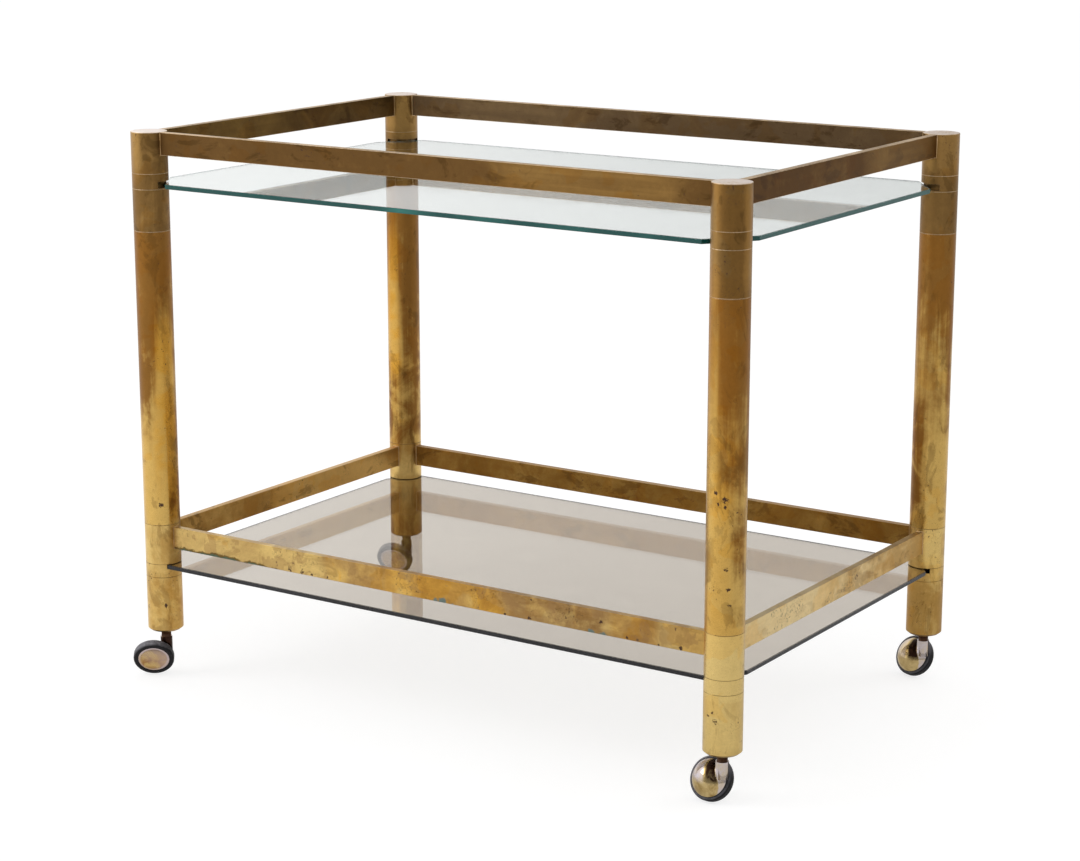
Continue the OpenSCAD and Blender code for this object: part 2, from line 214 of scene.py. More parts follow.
def edge_layers(tree, cloud, mottle):
    """The colours that lie on edges and tops, each with how much of it shows.

    The marks on the mesh are above 0 where an edge or top is painted paler, as rubbed metal
    and as a painted highlight on its rounding, above 1 on the caps of the posts, which are
    painted nearly white as a painted sheen over rubbed metal, and below 0 where dirt is
    left. The clouds and the mottling break them up.
    """
    worn = add(tree, "ShaderNodeAttribute", attribute_name="edge_wear_and_sheen").outputs["Fac"]
    broken = add(tree, "ShaderNodeMath", {0: cloud, 1: 1.5, 2: mottle}, operation="MULTIPLY_ADD")
    broken = add(tree, "ShaderNodeMapRange", {
        "Value": broken, "From Min": 1.0, "From Max": 1.4, "To Min": 0.35, "To Max": 1.0})
    edge_wear_and_sheen = add(tree, "ShaderNodeMath", {0: worn, 1: broken}, operation="MULTIPLY",
                 use_clamp=True)
    white = add(tree, "ShaderNodeMath", {0: worn, 1: broken, 2: -0.3}, operation="MULTIPLY_ADD",
                use_clamp=True)
    # the caps are painted nearly white: a painted sheen over rubbed metal
    is_cap = add(tree, "ShaderNodeMath", {0: worn, 1: 1.0}, operation="GREATER_THAN")
    white = add(tree, "ShaderNodeMath", {0: white, 1: is_cap}, operation="MULTIPLY")
    dirty = add(tree, "ShaderNodeMath", {0: worn, 1: -1.0}, operation="MULTIPLY", use_clamp=True)
    return [(edge_wear_and_sheen, "#f2d8b4"), (white, "#fbeee6"), (dirty, "#4c3319")]


def aged_brass(name, clean, aged, dark, along="Z", age=0.5, fade=None, stain=0.5, rough=0.34,
               pits=0.3, amber=0.3, drawn=0.25, spots=(), verdigris=None):
    """Unlacquered brass that has browned unevenly.

    It browns in clouds with ragged edges. What is left of the old lacquer is amber, with a
    crisp edge. Stains are darker, and pits and crawling marks are nearly black. Edges and
    tops are painted paler, as rubbed metal and as a painted sheen, and some hold dirt.
    """
    material, tree, place = new_material(name)
    wear_and_shading = add(tree, "ShaderNodeAttribute", attribute_name="wear_and_shading").outputs["Fac"]
    left_amber = add(tree, "ShaderNodeAttribute", attribute_name="amber").outputs["Fac"]
    # clouds 50 mm across, brush marks 8 mm wide and 160 mm long, stains 24 by 50 mm
    cloud = add(tree, "ShaderNodeTexNoise", {
        "Vector": place, "Scale": 20.0, "Detail": 7.0, "Roughness": 0.66, "Distortion": 0.5})
    brushed = add(tree, "ShaderNodeMapping", {"Vector": place, "Scale": smear((120.0, 6.0), along)})
    streak = add(tree, "ShaderNodeTexNoise", {
        "Vector": brushed, "Scale": 1.0, "Detail": 5.0, "Roughness": 0.6})
    wide = add(tree, "ShaderNodeMapping", {"Vector": place, "Scale": smear((42.0, 20.0), along)})
    blot = add(tree, "ShaderNodeTexNoise", {
        "Vector": wide, "Scale": 1.0, "Detail": 7.0, "Roughness": 0.66, "Distortion": 0.7})
    # patches 8 mm across, and fine mottling 2 mm across
    patch = add(tree, "ShaderNodeTexNoise", {
        "Vector": place, "Scale": 120.0, "Detail": 3.0, "Distortion": 0.4})
    mottle = add(tree, "ShaderNodeTexNoise", {
        "Vector": place, "Scale": 450.0, "Detail": 4.0, "Roughness": 0.6})

    share = drawn
    if fade:
        # the brush marks show more on the browned upper half
        height = add(tree, "ShaderNodeSeparateXYZ", {0: place}).outputs["Z"]
        share = add(tree, "ShaderNodeMapRange", {
            "Value": height, "From Min": 0.24, "From Max": 0.40, "To Min": drawn * 0.4,
            "To Max": drawn * 2})
    brush = add(tree, "ShaderNodeMath", {0: streak, 1: 0.5}, operation="SUBTRACT")
    how_old = add(tree, "ShaderNodeMath", {0: cloud, 1: 1.6, 2: age - 0.675},
                  operation="MULTIPLY_ADD")
    how_old = add(tree, "ShaderNodeMath", {0: brush, 1: share, 2: how_old},
                  operation="MULTIPLY_ADD")
    # the mesh marks bright and dark zones, on the posts painted highlight and painted shade
    # mixed with wear; clouds and brush marks give them ragged edges
    ragged = add(tree, "ShaderNodeMath", {0: brush, 1: 0.6, 2: cloud}, operation="MULTIPLY_ADD")
    ragged = add(tree, "ShaderNodeMapRange", {
        "Value": ragged, "From Min": 0.38, "From Max": 0.62, "To Min": 0.5, "To Max": 1.5})
    zone = add(tree, "ShaderNodeMath", {0: wear_and_shading, 1: ragged}, operation="MULTIPLY")
    how_old = add(tree, "ShaderNodeMath", {0: how_old, 1: zone}, operation="SUBTRACT")
    if fade:
        low_to_high = add(tree, "ShaderNodeMapRange", {
            "Value": height, "From Min": fade[0], "From Max": fade[1], "To Min": fade[2],
            "To Max": fade[3]}, interpolation_type="SMOOTHSTEP")
        how_old = add(tree, "ShaderNodeMath", {0: how_old, 1: low_to_high})
    how_old = add(tree, "ShaderNodeMapRange", {"Value": how_old, "From Min": 0.0, "From Max": 0.75},
                  interpolation_type="SMOOTHSTEP")
    colour = add(tree, "ShaderNodeMix", {0: how_old, 6: linear(clean), 7: linear(aged)},
                 data_type="RGBA")
    # old lacquer: patches about 45 mm across, and more of it where the mesh says
    lacquer = add(tree, "ShaderNodeTexNoise", {
        "Vector": place, "Scale": 22.0, "Detail": 3.0, "Distortion": 0.3})
    patches = add(tree, "ShaderNodeMapRange", {
        "Value": lacquer, "From Min": 0.54, "From Max": 0.565, "To Max": amber})
    whole = add(tree, "ShaderNodeMapRange", {
        "Value": lacquer, "From Min": 0.40, "From Max": 0.46, "To Min": 0.5, "To Max": 1.0})
    coated = add(tree, "ShaderNodeMath", {0: left_amber, 1: whole, 2: patches},
                 operation="MULTIPLY_ADD", use_clamp=True)
    colour = add(tree, "ShaderNodeMix", {0: coated, 6: colour, 7: linear("#ffe6a6")},
                 data_type="RGBA", blend_type="MULTIPLY")

    stained = add(tree, "ShaderNodeMapRange", {
        "Value": blot, "From Min": 0.54, "From Max": 0.61, "To Max": stain},
        interpolation_type="SMOOTHSTEP")
    stained = add(tree, "ShaderNodeMath", {0: zone, 1: -0.45, 2: stained},
                  operation="MULTIPLY_ADD", use_clamp=True)
    colour = add(tree, "ShaderNodeMix", {0: stained, 6: colour, 7: linear(dark)},
                 data_type="RGBA")
    grain = add(tree, "ShaderNodeMath", {0: patch, 1: 0.8, 2: mottle}, operation="MULTIPLY_ADD")
    grain = add(tree, "ShaderNodeMapRange", {
        "Value": grain, "From Min": 0.6, "From Max": 1.2, "To Min": 0.92, "To Max": 1.08})
    colour = add(tree, "ShaderNodeVectorMath", {0: colour, "Scale": grain}, operation="SCALE")
    pitted = pitting(tree, place, patch, mottle, pits, spots)
    for amount, tint in [(pitted, "#4a2c14")] + edge_layers(tree, cloud, mottle):
        colour = add(tree, "ShaderNodeMix", {0: amount, 6: colour, 7: linear(tint)},
                     data_type="RGBA")

    metal = add(tree, "ShaderNodeMath", {0: pitted, 1: -0.6, 2: 1.0}, operation="MULTIPLY_ADD")
    if verdigris:
        colour, metal = verdigris(tree, place, colour, metal)
    dull = add(tree, "ShaderNodeMath", {0: how_old, 1: 0.12, 2: rough}, operation="MULTIPLY_ADD")
    dull = add(tree, "ShaderNodeMath", {0: mottle, 1: 0.14, 2: dull}, operation="MULTIPLY_ADD")
    relief = add(tree, "ShaderNodeMath", {0: streak, 1: 0.4, 2: mottle}, operation="MULTIPLY_ADD")
    relief = add(tree, "ShaderNodeMath", {0: relief, 1: pitted}, operation="SUBTRACT")
    return surfaced(material, relief, 0.25, 0.0002,
                    {"Base Color": colour, "Metallic": metal, "Roughness": dull})


post_brass = aged_brass("aged_brass_post", "#d2ad62", "#966a32", "#66461f",
                        fade=(0.22, 0.48, -0.55, 0.25), stain=0.4, pits=0.15, drawn=0.75,
                        rough=0.22, spots=POST_SPOTS)
block_brass = aged_brass("aged_brass_block", "#b28b50", "#86663a", "#5f4522", age=0.55,
                         rough=0.24, drawn=0.6)
foot_brass = aged_brass("golden_brass_foot", "#e0c27c", "#bb9350", "#7c5a2c", age=0.3, stain=0.4,
                        drawn=0.3, rough=0.22, spots=POST_SPOTS)


def new_piece(name, work, sharp_at=None):
    """An object made from a worked mesh. Edges past an angle in degrees are shaded sharp."""
    mesh = bpy.data.meshes.new(name)
    work.to_mesh(mesh)
    work.free()
    if sharp_at:
        mesh.set_sharp_from_angle(angle=radians(sharp_at))
    piece = bpy.data.objects.new(name, mesh)
    bpy.context.collection.objects.link(piece)
    return piece


def finish_piece(piece, material, body, slot, *nodes):
    """Gives a piece its finish, its body and the CAD nodes that it stands for."""
    piece.data.materials.clear()
    piece.data.materials.append(material)
    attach(piece, body)
    if nodes:
        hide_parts(*nodes)


def ramp(x, start, end):
    """0 up to the start, 1 from the end on, and a straight slope between."""
    return min(1.0, max(0.0, (x - start) / (end - start)))


def fall(x, soft):
    """1 in the middle of a zone, 0 outside it, and a soft step between."""
    t = ramp(x, 1 + soft, 1 - soft)
    return t * t * (3 - 2 * t)


def post_wear_and_shading(zones, centre, at):
    """How much a post is painted brighter or darker at one place on its wall, as wear and painted
    light, and how amber it is.
    """
    angle = degrees(atan2(at.y - centre[1], at.x - centre[0]))
    wear_and_shading = amber = 0.0
    for toward, spread, low, high, much, lacquer, soft in zones:
        aside = abs((angle - toward + 180) % 360 - 180) / spread
        above = abs(2 * at.z - low - high) / (high - low)
        share = fall(aside, soft) * fall(above, soft)
        wear_and_shading += much * share
        amber += lacquer * share
    return wear_and_shading, amber


# The marks that a mesh carries at its corners: edges and tops, zones, and old lacquer
MARKS = ("edge_wear_and_sheen", "wear_and_shading", "amber")
# Edges past this angle, in degrees, are real ones
SHARP = 40
TURN_STEPS = 96


def turned(name, profile, sides, centre, zones):
    """A closed profile of (radius, height) points turned about an upright axis.

    sides gives, for each side of the profile, how bright (above 0) or how dirty (below 0)
    it is, and zones where the wall is painted brighter or darker, as wear and as painted
    highlight and shade.
    """
    work = bmesh.new()
    edge_wear_and_sheen, wear_and_shading, amber = [work.loops.layers.float.new(mark) for mark in MARKS]
    rings = []
    for r, z in profile:
        turns = [2 * pi * s / TURN_STEPS for s in range(TURN_STEPS if r else 1)]
        rings.append([work.verts.new((centre[0] + r * cos(turn), centre[1] + r * sin(turn), z))
                      for turn in turns])
    for i, low in enumerate(rings):
        high = rings[(i + 1) % len(rings)]
        if len(low) == len(high) == 1:
            continue
        for s in range(TURN_STEPS):
            t = (s + 1) % TURN_STEPS
            corners = [low[s], low[t]] if len(low) > 1 else [low[0]]
            corners += [high[t], high[s]] if len(high) > 1 else [high[0]]
            face = work.faces.new(corners)
            face.smooth = True
            for loop in face.loops:
                loop[edge_wear_and_sheen] = sides[i]
                loop[wear_and_shading], loop[amber] = post_wear_and_shading(zones, centre, loop.vert.co)
    bmesh.ops.recalc_face_normals(work, faces=work.faces)
    return new_piece(name, work, SHARP)


def round_edge(z, turn):
    """A quarter round from a post's end face out to its wall, upwards (1) or downwards (-1)."""
    angles = [s * pi / 6 for s in range(4)]
    return [(POST_R - SEAM_EDGE * (1 - sin(a)), z + turn * SEAM_EDGE * (1 - cos(a)))
            for a in angles]


# The mark and the thickness of a post's cap, and how high the steps of a wall are
CAP_MARK = 1.4
CAP_DEPTH = 0.017
WALL_STEP = 0.008


def tube_profile(low, high, seam, foot, capped):
    """A tube's section, its ends a little rounded, with the mark of each side.

    seam says how bright (above 0) or how dirty (below 0) its rounded ends are.
    """
    # a narrow band at each end of the wall keeps the marks of the edge from spreading
    band = 0.0004
    if foot:
        # the foot is chamfered and has a floor, pierced for the caster's pintle
        points = [(FOOT_HOLE_R, low), (POST_R - FOOT_CHAMFER - band, low),
                  (POST_R - FOOT_CHAMFER, low + band), (POST_R - band, low + FOOT_CHAMFER - band),
                  (POST_R, low + FOOT_CHAMFER)]
        sides = [-0.4, -0.3, -0.5, -0.1, 0.0]
        wall = low + FOOT_CHAMFER + band
    else:
        points = [(BORE_R, low)] + round_edge(low, 1)
        sides = [0.1, seam, seam, seam, seam * 0.15]
        wall = low + SEAM_EDGE + band
    # the wall's steps carry the zones
    rise = high - SEAM_EDGE - band - wall
    count = max(1, round(rise / WALL_STEP))
    points += [(POST_R, wall + rise * k / count) for k in range(count + 1)]
    sides += [0.0] * count + [seam * 0.15]
    points += reversed(round_edge(high, -1))
    sides += [0.8, 0.8, 0.8, CAP_MARK] if capped else [seam, seam, seam, 0.75]
    if capped:
        under = high - CAP_DEPTH
        points += [(POST_R * 0.5, high), (0, high), (0, under), (BORE_R, under)]
        sides += [CAP_MARK, 0.0, 0.0, 0.0]
    elif foot:
        points += [(BORE_R, high), (BORE_R, low + FOOT_FLOOR), (FOOT_HOLE_R, low + FOOT_FLOOR)]
        sides += [0.0, 0.0, 0.0]
    else:
        points.append((BORE_R, high))
        sides.append(0.0)
    return points, sides


# Seams of the upper half are painted bright, as rubbed edges and as painted highlights, and those
# of the lower half hold dirt
for corner, centre in CORNERS.items():
    for part, material, slot, seam in [
            ("foot", foot_brass, "golden_brass", -0.5),
            ("lower_rail_block", foot_brass, "golden_brass", -0.4),
            ("post_tube", post_brass, "aged_brass", 0.15),
            ("spacer", block_brass, "aged_brass", 0.75),
            ("upper_rail_block", block_brass, "aged_brass", 0.75)]:
        node = f"{corner}_{part}"
        low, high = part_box(node)
        profile, sides = tube_profile(low[2], high[2], seam, foot=part == "foot",
                                      capped=part == "upper_rail_block")
        piece = turned(f"{node}_turned", profile, sides, centre, POST_ZONES[corner])
        finish_piece(piece, material, "frame", slot, node)


def bar_zone_tone(zones, place):
    """How much brighter or darker a bar is marked at one place along it, and how amber it is."""
    shares = [(much, lacquer, fall(abs(2 * place - low - high) / (high - low), soft))
              for low, high, much, lacquer, soft in zones]
    return sum(s[0] * s[2] for s in shares), sum(s[1] * s[2] for s in shares)


# Corners closer than this, in metres, are one, and faces within this angle, in degrees, are flat
SAME_PLACE = 2e-6
FLAT = 0.4


def cad_mesh(node, flatten=True):
    """A CAD piece's mesh to work on, its double corners merged and its flat faces joined."""
    work = bmesh.new()
    work.from_mesh(NODES[node].data)
    bmesh.ops.remove_doubles(work, verts=work.verts, dist=SAME_PLACE)
    if flatten:
        bmesh.ops.dissolve_limit(work, angle_limit=radians(FLAT), verts=work.verts,
                                 edges=work.edges)
    return work


# Edges past this angle, in degrees, are eased, and cuts this far apart carry a bar's zones
HARD_EDGE = 30
BAR_STEP = 0.01


def eased_copy(node, name, edge, top_mark, edge_mark, zones, centre=None, axis=None):
    """A copy of a CAD piece with its hard edges eased.

    The marks say how bright (above 0) or dirty (below 0) its top and its edges are. zones
    are a post's, where the piece has a centre, or stretches along the axis of a bar.
    """
    work = cad_mesh(node)
    edge_wear_and_sheen, wear_and_shading, amber = [work.loops.layers.float.new(mark) for mark in MARKS]
    hard = [e for e in work.edges if len(e.link_faces) == 2
            and e.calc_face_angle(0) > radians(HARD_EDGE)]
    made = bmesh.ops.bevel(work, geom=hard, offset=edge, offset_type="OFFSET", segments=2,
                           profile=0.5, affect="EDGES", clamp_overlap=True)
    eased = set(made["faces"])
    for face in work.faces:
        face.smooth = True
        # tops and eased edges carry the marks that paint them paler, as wear and painted sheen, and
        # darker with dirt
        mark = edge_mark if face in eased else top_mark if face.normal.z > 0.9 else 0.0
        for loop in face.loops:
            loop[edge_wear_and_sheen] = mark
    if not centre:
        start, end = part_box(node)[0][axis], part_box(node)[1][axis]
        count = round((end - start) / BAR_STEP)
        across = Vector([1.0 if k == axis else 0.0 for k in range(3)])
        for k in range(2, count - 1):
            bmesh.ops.bisect_plane(work, geom=work.verts[:] + work.edges[:] + work.faces[:],
                                   dist=1e-7, plane_no=across,
                                   plane_co=across * (start + (end - start) * k / count))
    for face in work.faces:
        for loop in face.loops:
            at = loop.vert.co
            zone_marks = post_wear_and_shading(zones, centre, at) if centre else bar_zone_tone(zones, at[axis])
            loop[wear_and_shading], loop[amber] = zone_marks
    piece = new_piece(name, work, SHARP)
    weigh = piece.modifiers.new("even normals", "WEIGHTED_NORMAL")
    weigh.keep_sharp = True
    return piece


RING_EDGE = 0.0003
for corner, centre in CORNERS.items():
    for part, material, slot, seam in [("lower_shelf_ring", foot_brass, "golden_brass", -0.4),
                                       ("upper_shelf_ring", block_brass, "aged_brass", 0.7)]:
        node = f"{corner}_{part}"
        ring = eased_copy(node, f"{node}_cut", RING_EDGE, 0.75, seam, POST_ZONES[corner], centre)
        finish_piece(ring, material, "frame", slot, node)


# ------------------------------------------------------------------------------------
# Rails: 25 by 8 mm flat brass bar, its ends hollowed to the posts and brazed on. The
# upper bars are handled and have gone brown; the lower ones are golden and stained, and
# the front one is green with verdigris along its lower edge near the left post.
# ------------------------------------------------------------------------------------
def verdigris_edge(tree, place, colour, metal):
    """Verdigris and dark crusts on the front bar's lower edge, thickest at its left end."""
    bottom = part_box("front_lower_rail")[0][2]
    axes = add(tree, "ShaderNodeSeparateXYZ", {0: place})
    # ragged at 14 mm and below
    ragged = add(tree, "ShaderNodeTexNoise", {
        "Vector": place, "Scale": 70.0, "Detail": 6.0, "Roughness": 0.7})
    # a brownish film with a crisp edge, in patches about 30 mm long
    film = add(tree, "ShaderNodeTexNoise", {
        "Vector": place, "Scale": 34.0, "Detail": 5.0, "Roughness": 0.6, "Distortion": 0.4})
    film = add(tree, "ShaderNodeMapRange", {
        "Value": film, "From Min": 0.545, "From Max": 0.56, "To Max": 0.4})
    rise = add(tree, "ShaderNodeMapRange", {
        "Value": axes.outputs["Z"], "From Min": bottom, "From Max": bottom + 0.010,
        "To Min": 0.56, "To Max": -0.1})
    left = add(tree, "ShaderNodeMapRange", {
        "Value": axes.outputs["X"], "From Min": -0.26, "From Max": -0.15, "To Min": 0.0,
        "To Max": -0.36})
    crust = add(tree, "ShaderNodeMath", {0: rise, 1: left})
    crust = add(tree, "ShaderNodeMath", {0: crust, 1: ragged})
    brown = add(tree, "ShaderNodeMapRange", {
        "Value": crust, "From Min": 0.80, "From Max": 0.90, "To Max": 0.85})
    green = add(tree, "ShaderNodeMapRange", {
        "Value": crust, "From Min": 0.94, "From Max": 1.03, "To Max": 0.85})
    # one bluish patch near the middle, and a faint one near the right end
    bluish = dark_spots(tree, place, ragged, [
        (x, -0.235, bottom + up, r) for x, up, r in [
            (0.028, 0.001, 0.0032), (0.040, 0.0, 0.0018), (0.018, 0.0, 0.0022),
            (0.212, 0.0, 0.0030), (0.224, 0.0, 0.0030)]])
    for amount, tint in [(film, "#97744a"), (brown, "#57421f"), (green, "#476248"),
                         (bluish, "#6f7f76")]:
        colour = add(tree, "ShaderNodeMix", {0: amount, 6: colour, 7: linear(tint)},
                     data_type="RGBA")
    crusted = add(tree, "ShaderNodeMath", {0: green, 1: bluish}, operation="MAXIMUM")
    metal = add(tree, "ShaderNodeMath", {0: crusted, 1: -0.9, 2: metal},
                operation="MULTIPLY_ADD", use_clamp=True)
    return colour, metal


# The darkest spots on the front bar, given from its lower edge up
bar_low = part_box("front_lower_rail")[0]
RAIL_SPOTS = [(x, bar_low[1], bar_low[2] + up, r) for x, up, r in [
    (-0.177, 0.003, 0.0021), (-0.160, 0.003, 0.0019), (-0.172, 0.011, 0.0012),
    (-0.147, 0.002, 0.0012), (-0.125, 0.002, 0.0011), (0.107, 0.001, 0.0012),
    (0.137, 0.002, 0.0018), (0.139, 0.022, 0.0010), (0.224, 0.013, 0.0017),
    (0.182, 0.010, 0.0010), (0.255, 0.002, 0.0013), (0.267, 0.002, 0.0013),
    (0.292, 0.001, 0.0011), (0.317, 0.002, 0.0016), (0.311, 0.021, 0.0012)]]
RAIL_FINISHES = {
    "front_upper": aged_brass("aged_brass_front_rail", "#a68148", "#74552f", "#4f3819", along="X",
                              age=0.6),
    "back_upper": aged_brass("aged_brass_back_rail", "#957954", "#6d573e", "#4a351c", along="X",
                             age=0.6),
    "left_upper": aged_brass("aged_brass_left_rail", "#8c6c38", "#644a26", "#432d12", along="Y"),
    "right_upper": aged_brass("aged_brass_right_rail", "#8e6a2e", "#68471e", "#4c3214", along="Y"),
    "front_lower": aged_brass("golden_brass_front_rail", "#dabb74", "#a78453", "#744f24",
                              along="X", age=0.3, stain=0.3, pits=0.5, amber=0.4, drawn=0.1,
                              rough=0.26, spots=RAIL_SPOTS, verdigris=verdigris_edge),
    "back_lower": aged_brass("golden_brass_back_rail", "#bb9450", "#92692e", "#61421c", along="X",
                             age=0.45),
    "left_lower": aged_brass("golden_brass_left_rail", "#ddb46a", "#b68a47", "#6a4a20", along="Y",
                             age=0.4),
    "right_lower": aged_brass("golden_brass_right_rail", "#ecd39d", "#ceaa6a", "#8c6634",
                              along="Y", age=0.3, stain=0.35, pits=0.7, drawn=0.1),
}
# Stretches of a bar that are brighter (above 0) or darker (below 0), from end to end, how
# much amber lacquer is left there, and how soft their ends are
RAIL_ZONES = {
    "front_upper": [(-0.33, 0.0, -0.2, 0.0, 0.4), (0.10, 0.31, 0.35, 0.0, 0.4),
                    (0.325, 0.36, -0.5, 0.0, 0.2), (-0.30, -0.22, 0.2, 0.0, 0.4)],
    "back_upper": [(-0.30, -0.10, 0.3, 0.0, 0.4), (0.10, 0.30, -0.2, 0.0, 0.4)],
    "left_upper": [(-0.20, 0.0, 0.25, 0.0, 0.4)],
    "right_upper": [(-0.22, -0.08, -0.2, 0.0, 0.4), (0.05, 0.20, 0.3, 0.0, 0.4)],
    "front_lower": [(-0.36, -0.13, 0.12, 0.0, 0.1), (-0.13, -0.05, 0.0, 0.3, 0.1),
                    (-0.05, 0.105, 0.05, 0.8, 0.04), (0.105, 0.235, -0.2, -0.2, 0.1),
                    (0.235, 0.285, -0.1, 0.8, 0.1), (0.285, 0.36, 0.1, 0.0, 0.1)],
    "back_lower": [(-0.10, 0.20, 0.15, 0.0, 0.4)],
    "left_lower": [(-0.05, 0.20, 0.3, 0.0, 0.4)],
    "right_lower": [(-0.22, -0.02, 0.3, 0.0, 0.4), (0.08, 0.22, -0.2, 0.0, 0.4)],
}
# How bright or dirty each bar's top and edges are
RAIL_TOPS = {"front_lower": (0.1, -0.1), "right_lower": (-0.45, 0.1), "back_lower": (0.35, 0.3),
             "left_lower": (0.35, 0.3)}
BAR_EDGE = 0.0005
for rail, material in RAIL_FINISHES.items():
    node = f"{rail}_rail"
    slot = "aged_brass" if rail.endswith("upper") else "golden_brass"
    top_mark, edge_mark = RAIL_TOPS.get(rail, (0.75, 0.7))
    bar = eased_copy(node, f"{node}_bar", BAR_EDGE, top_mark, edge_mark, RAIL_ZONES[rail],
                     axis=0 if rail.startswith(("front", "back")) else 1)
    finish_piece(bar, material, "frame", slot, node)


# ------------------------------------------------------------------------------------
# Braze: a thin bead of filler that has run round each bar end where it meets its post.
# It is silvery yellow and stands a little proud of the corner.
# ------------------------------------------------------------------------------------
BEAD_R = 0.0009
BAR_HALF = 0.004
# How far the bead keeps below the top of an upper bar, which is level with its post
BEAD_DROP = 0.0006


def bead_path(work, centre, toward, low, high, flush_top):
    """The line of one bead: up one side of the bar, over it where it can, and down."""
    side = Vector((-toward.y, toward.x, 0))
    across = [BAR_HALF * (k / 4) for k in range(-4, 5)]

    def spot(s, z):
        out = sqrt(POST_R ** 2 - s ** 2)
        return Vector((centre[0], centre[1], z)) + toward * out + side * s

    line = [spot(-BAR_HALF, high)] + [spot(s, low) for s in across] + [spot(BAR_HALF, high)]
    if not flush_top:
        line += [spot(s, high) for s in reversed(across[1:-1])]
    verts = [work.verts.new(p) for p in line]
    for a, b in zip(verts, verts[1:] + ([] if flush_top else verts[:1])):
        work.edges.new((a, b))


def bead_tree(material):
    """Lays a round bead along every line of the piece."""
    tree = bpy.data.node_groups.new("braze_bead", "GeometryNodeTree")
    for way in ("INPUT", "OUTPUT"):
        tree.interface.new_socket("Geometry", in_out=way, socket_type="NodeSocketGeometry")
    line = add(tree, "GeometryNodeMeshToCurve", {0: add(tree, "NodeGroupInput")})
    ring = add(tree, "GeometryNodeCurvePrimitiveCircle", {"Resolution": 10, "Radius": BEAD_R})
    bead = add(tree, "GeometryNodeCurveToMesh", {
        "Curve": line, "Profile Curve": ring, "Fill Caps": True})
    smooth = add(tree, "GeometryNodeSetShadeSmooth", {0: bead})
    real = add(tree, "GeometryNodeRealizeInstances", {0: smooth})
    dressed = add(tree, "GeometryNodeSetMaterial", {0: real, "Material": material})
    add(tree, "NodeGroupOutput", {0: dressed})
    return tree


braze_brass = aged_brass("braze_filler", "#dcbd90", "#a9824c", "#6a4a28", age=0.2, stain=0.4,
                         rough=0.38)
work = bmesh.new()
for corner, centre in CORNERS.items():
    for toward in (Vector((-1 if centre[0] > 0 else 1, 0, 0)),
                   Vector((0, -1 if centre[1] > 0 else 1, 0))):
        for tier, drop in (("upper", BEAD_DROP), ("lower", 0)):
            low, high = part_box(f"front_{tier}_rail")
            bead_path(work, centre, toward, low[2], high[2] - drop, tier == "upper")
lines = new_piece("braze_lines", work)
lines.modifiers.new("bead", "NODES").node_group = bead_tree(braze_brass)
bpy.context.view_layer.update()
depsgraph = bpy.context.evaluated_depsgraph_get()
bead_mesh = bpy.data.meshes.new_from_object(lines.evaluated_get(depsgraph))
bpy.data.objects.remove(lines)
braze = bpy.data.objects.new("braze_beads", bead_mesh)
bpy.context.collection.objects.link(braze)
finish_piece(braze, braze_brass, "frame", "golden_brass")


# ------------------------------------------------------------------------------------
# Shelves: 5 mm float glass with clipped corners, let into the notches of the posts. The
# upper plate is clear and its ground edge shows deep green; the lower one is smoked
# brown, and its edge looks nearly black.
# ------------------------------------------------------------------------------------
def sheet_glass(name, tint, haze):
    """Float glass: clear to look through, with a faint haze of wiping marks."""
    material, tree, place = new_material(name)
    # wiping marks 60 mm across, and dust about 2 mm across
    wipe = add(tree, "ShaderNodeTexNoise", {
        "Vector": place, "Scale": 16.0, "Detail": 3.0, "Distortion": 1.5})
    dust = add(tree, "ShaderNodeTexNoise", {"Vector": place, "Scale": 500.0, "Detail": 1.0})
    specks = add(tree, "ShaderNodeMapRange", {
        "Value": dust, "From Min": 0.74, "From Max": 0.80, "To Min": 1.0, "To Max": 0.80})
    smudge = add(tree, "ShaderNodeMapRange", {
        "Value": wipe, "From Min": 0.3, "From Max": 0.7, "To Min": 1.0, "To Max": 0.965})
    thin = add(tree, "ShaderNodeMath", {0: specks, 1: smudge}, operation="MULTIPLY")
    colour = add(tree, "ShaderNodeVectorMath", {0: linear(tint)[:3], "Scale": thin},
                 operation="SCALE")
    rough = add(tree, "ShaderNodeMapRange", {
        "Value": wipe, "From Min": 0.35, "From Max": 0.75, "To Min": 0.0, "To Max": haze})
    return surfaced(material, wipe, 0.02, 0.0002, {
        "Base Color": colour, "Roughness": rough, "IOR": 1.43, "Transmission Weight": 1.0})


def glass_edge(name, deep, pale, rough):
    """The ground edge of a glass plate, where the light that runs along it comes out."""
    material, tree, place = new_material(name)
    # long glints 120 mm apart, and grinding marks 3 mm apart
    glint = add(tree, "ShaderNodeTexNoise", {"Vector": place, "Scale": 8.0, "Detail": 3.0})
    ground = add(tree, "ShaderNodeTexNoise", {"Vector": place, "Scale": 330.0, "Detail": 2.0})
    share = add(tree, "ShaderNodeMapRange", {"Value": glint, "From Min": 0.45, "From Max": 0.72},
                interpolation_type="SMOOTHSTEP")
    colour = add(tree, "ShaderNodeMix", {0: share, 6: linear(deep), 7: linear(pale)},
                 data_type="RGBA")
    gloss = add(tree, "ShaderNodeMapRange", {
        "Value": ground, "To Min": rough, "To Max": rough + 0.2})
    return surfaced(material, ground, 0.15, 0.0001, {
        "Base Color": colour, "Roughness": gloss, "IOR": 1.46, "Transmission Weight": 0.25})


for node, face_glass, edge_glass, slot in [
        ("upper_glass", sheet_glass("clear_float_glass", "#eff4f2", 0.03),
         glass_edge("green_glass_edge", "#08605a", "#3c9c90", 0.12), "clear_glass"),
        ("lower_glass", sheet_glass("smoked_float_glass", "#c3baae", 0.04),
         glass_edge("black_glass_edge", "#0e0c10", "#26252b", 0.15), "smoked_glass")]:
    plate = new_piece(f"{node}_plate", cad_mesh(node))
    finish_piece(plate, face_glass, "frame", slot, node)
    plate.data.materials.append(edge_glass)
    for face in plate.data.polygons:
        face.material_index = 0 if abs(face.normal.z) > 0.9 else 1
        face.use_smooth = False


